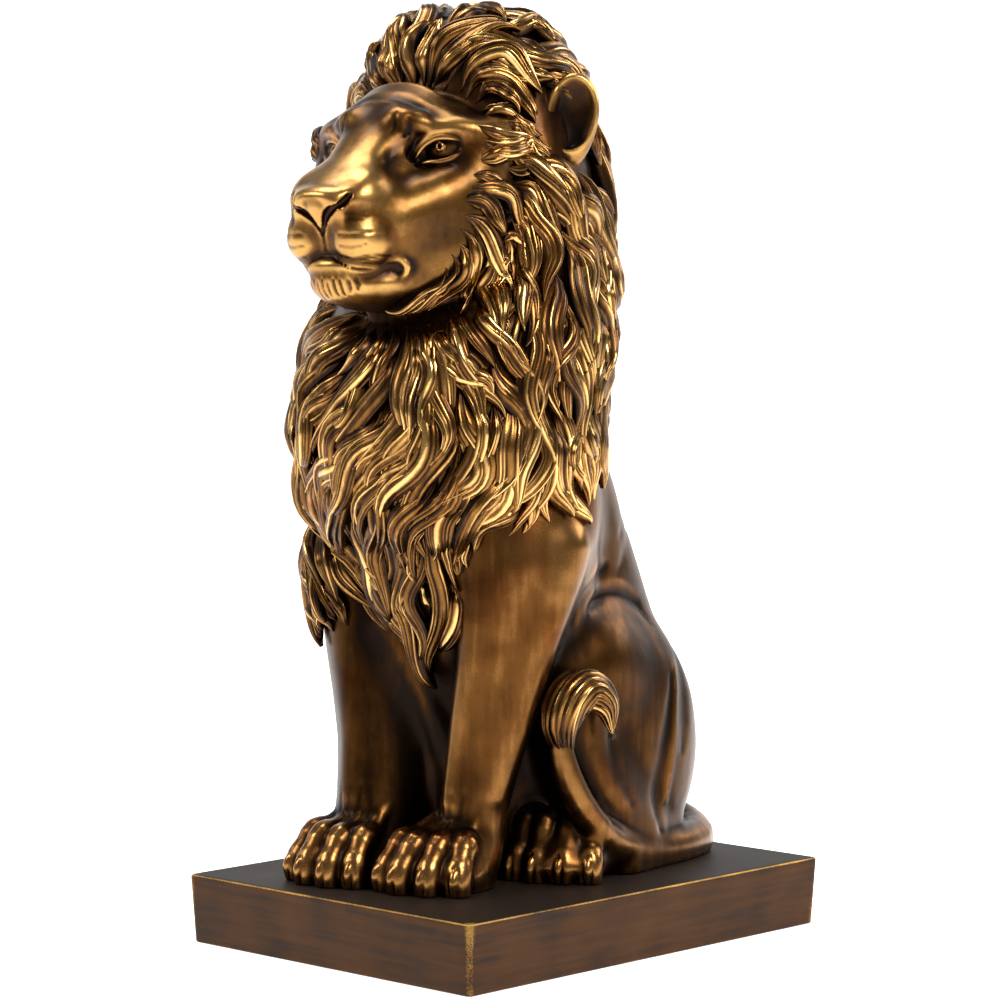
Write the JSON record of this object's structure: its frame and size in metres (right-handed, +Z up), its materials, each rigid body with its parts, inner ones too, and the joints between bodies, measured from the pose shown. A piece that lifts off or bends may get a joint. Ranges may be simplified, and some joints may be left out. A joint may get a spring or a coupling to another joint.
{
  "type": "lion statue",
  "caption": "Seated lion statuette with a carved mane, upright forelegs and tail wrapped round its haunch, fixed on a plain rectangular plinth.",
  "frame": {"origin": "centre of the plinth's underside", "axes": "+Z up, +X towards the lion's left side, the lion faces -Y"},
  "size_m": [0.168, 0.2361, 0.4005],
  "materials": {
    "bronzed_resin": "cast resin painted in dark bronze and rubbed with gold on the raised carving, semi-gloss",
    "plinth_resin": "cast resin painted dark brown with faint horizontal brush marks, edges rubbed back to gold, satin"
  },
  "bodies": {
    "root": {"lion": "bronzed_resin", "plinth": "plinth_resin"}
  },
  "joints": []
}
